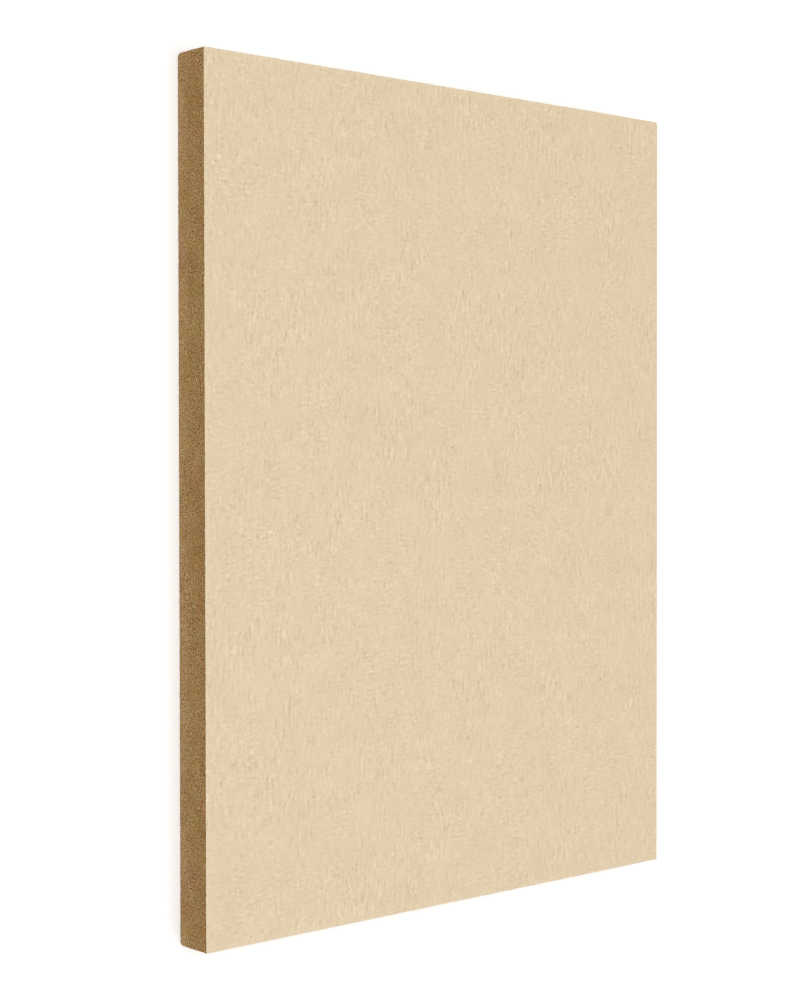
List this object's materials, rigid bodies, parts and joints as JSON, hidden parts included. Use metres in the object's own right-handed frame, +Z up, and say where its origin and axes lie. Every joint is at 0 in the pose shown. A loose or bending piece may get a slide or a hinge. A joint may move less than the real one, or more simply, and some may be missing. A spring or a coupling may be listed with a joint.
{
  "type": "mdf board",
  "caption": "Flat rectangular panel of medium-density fibreboard with smooth pressed faces and sawn edges, for cutting, edging or screwing to other parts.",
  "frame": {"origin": "centre of the lower face, the one the board rests on", "axes": "+Z up through the gauge, out of the smooth upper face; X along the length; Y across the width"},
  "size_m": [0.4, 0.3, 0.02],
  "materials": {
    "mdf": "sanded, uncoated medium-density fibreboard: pale smooth faces, darker rough sawn edges"
  },
  "bodies": {
    "root": {"board": "mdf"}
  },
  "joints": []
}
